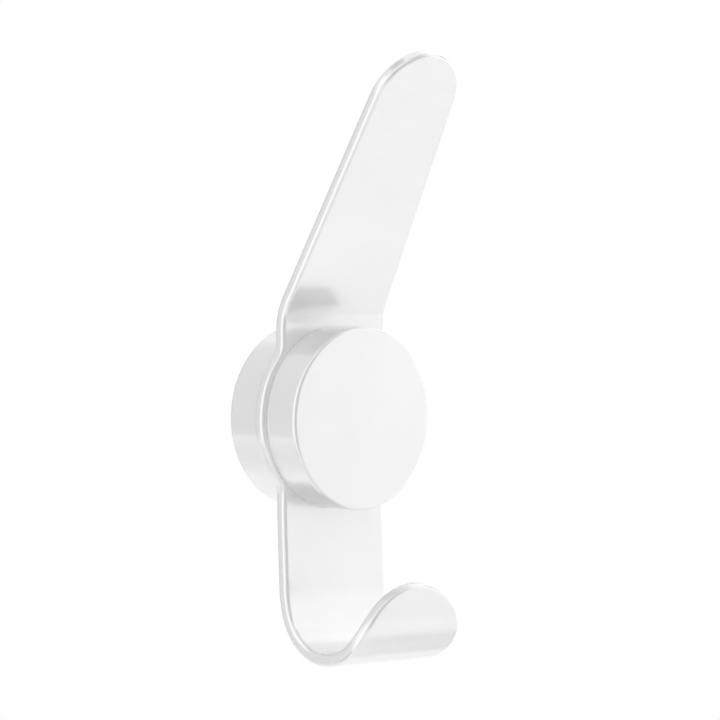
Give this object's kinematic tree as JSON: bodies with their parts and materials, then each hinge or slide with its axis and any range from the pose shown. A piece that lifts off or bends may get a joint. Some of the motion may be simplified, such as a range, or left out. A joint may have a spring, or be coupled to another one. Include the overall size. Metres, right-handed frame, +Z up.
{
  "type": "double wall hook",
  "caption": "Wall hook of bent sheet metal with a leaning upper arm and a J-shaped lower hook, clamped between round pucks that slip over a hidden wall plate.",
  "frame": {"origin": "where the pucks' common axis meets the wall, at the centre of the wall plate's back face", "axes": "+Z up along the wall, +Y into the wall, so the hook faces -Y and +X is to the right of someone facing it"},
  "size_m": [0.0318, 0.032, 0.0995],
  "materials": {
    "lacquer": "satin white lacquer with a metal sheen",
    "bright_steel": "bright machined steel",
    "zinc_plate": "dull zinc plating"
  },
  "bodies": {
    "root": {"hook_plate": "lacquer", "rear_puck": "lacquer", "front_puck": "lacquer", "clamp_screw": "bright_steel", "locating_pin_upper": "bright_steel", "locating_pin_lower": "bright_steel", "wall_plate": "zinc_plate", "grub_screw": "bright_steel"}
  },
  "joints": []
}
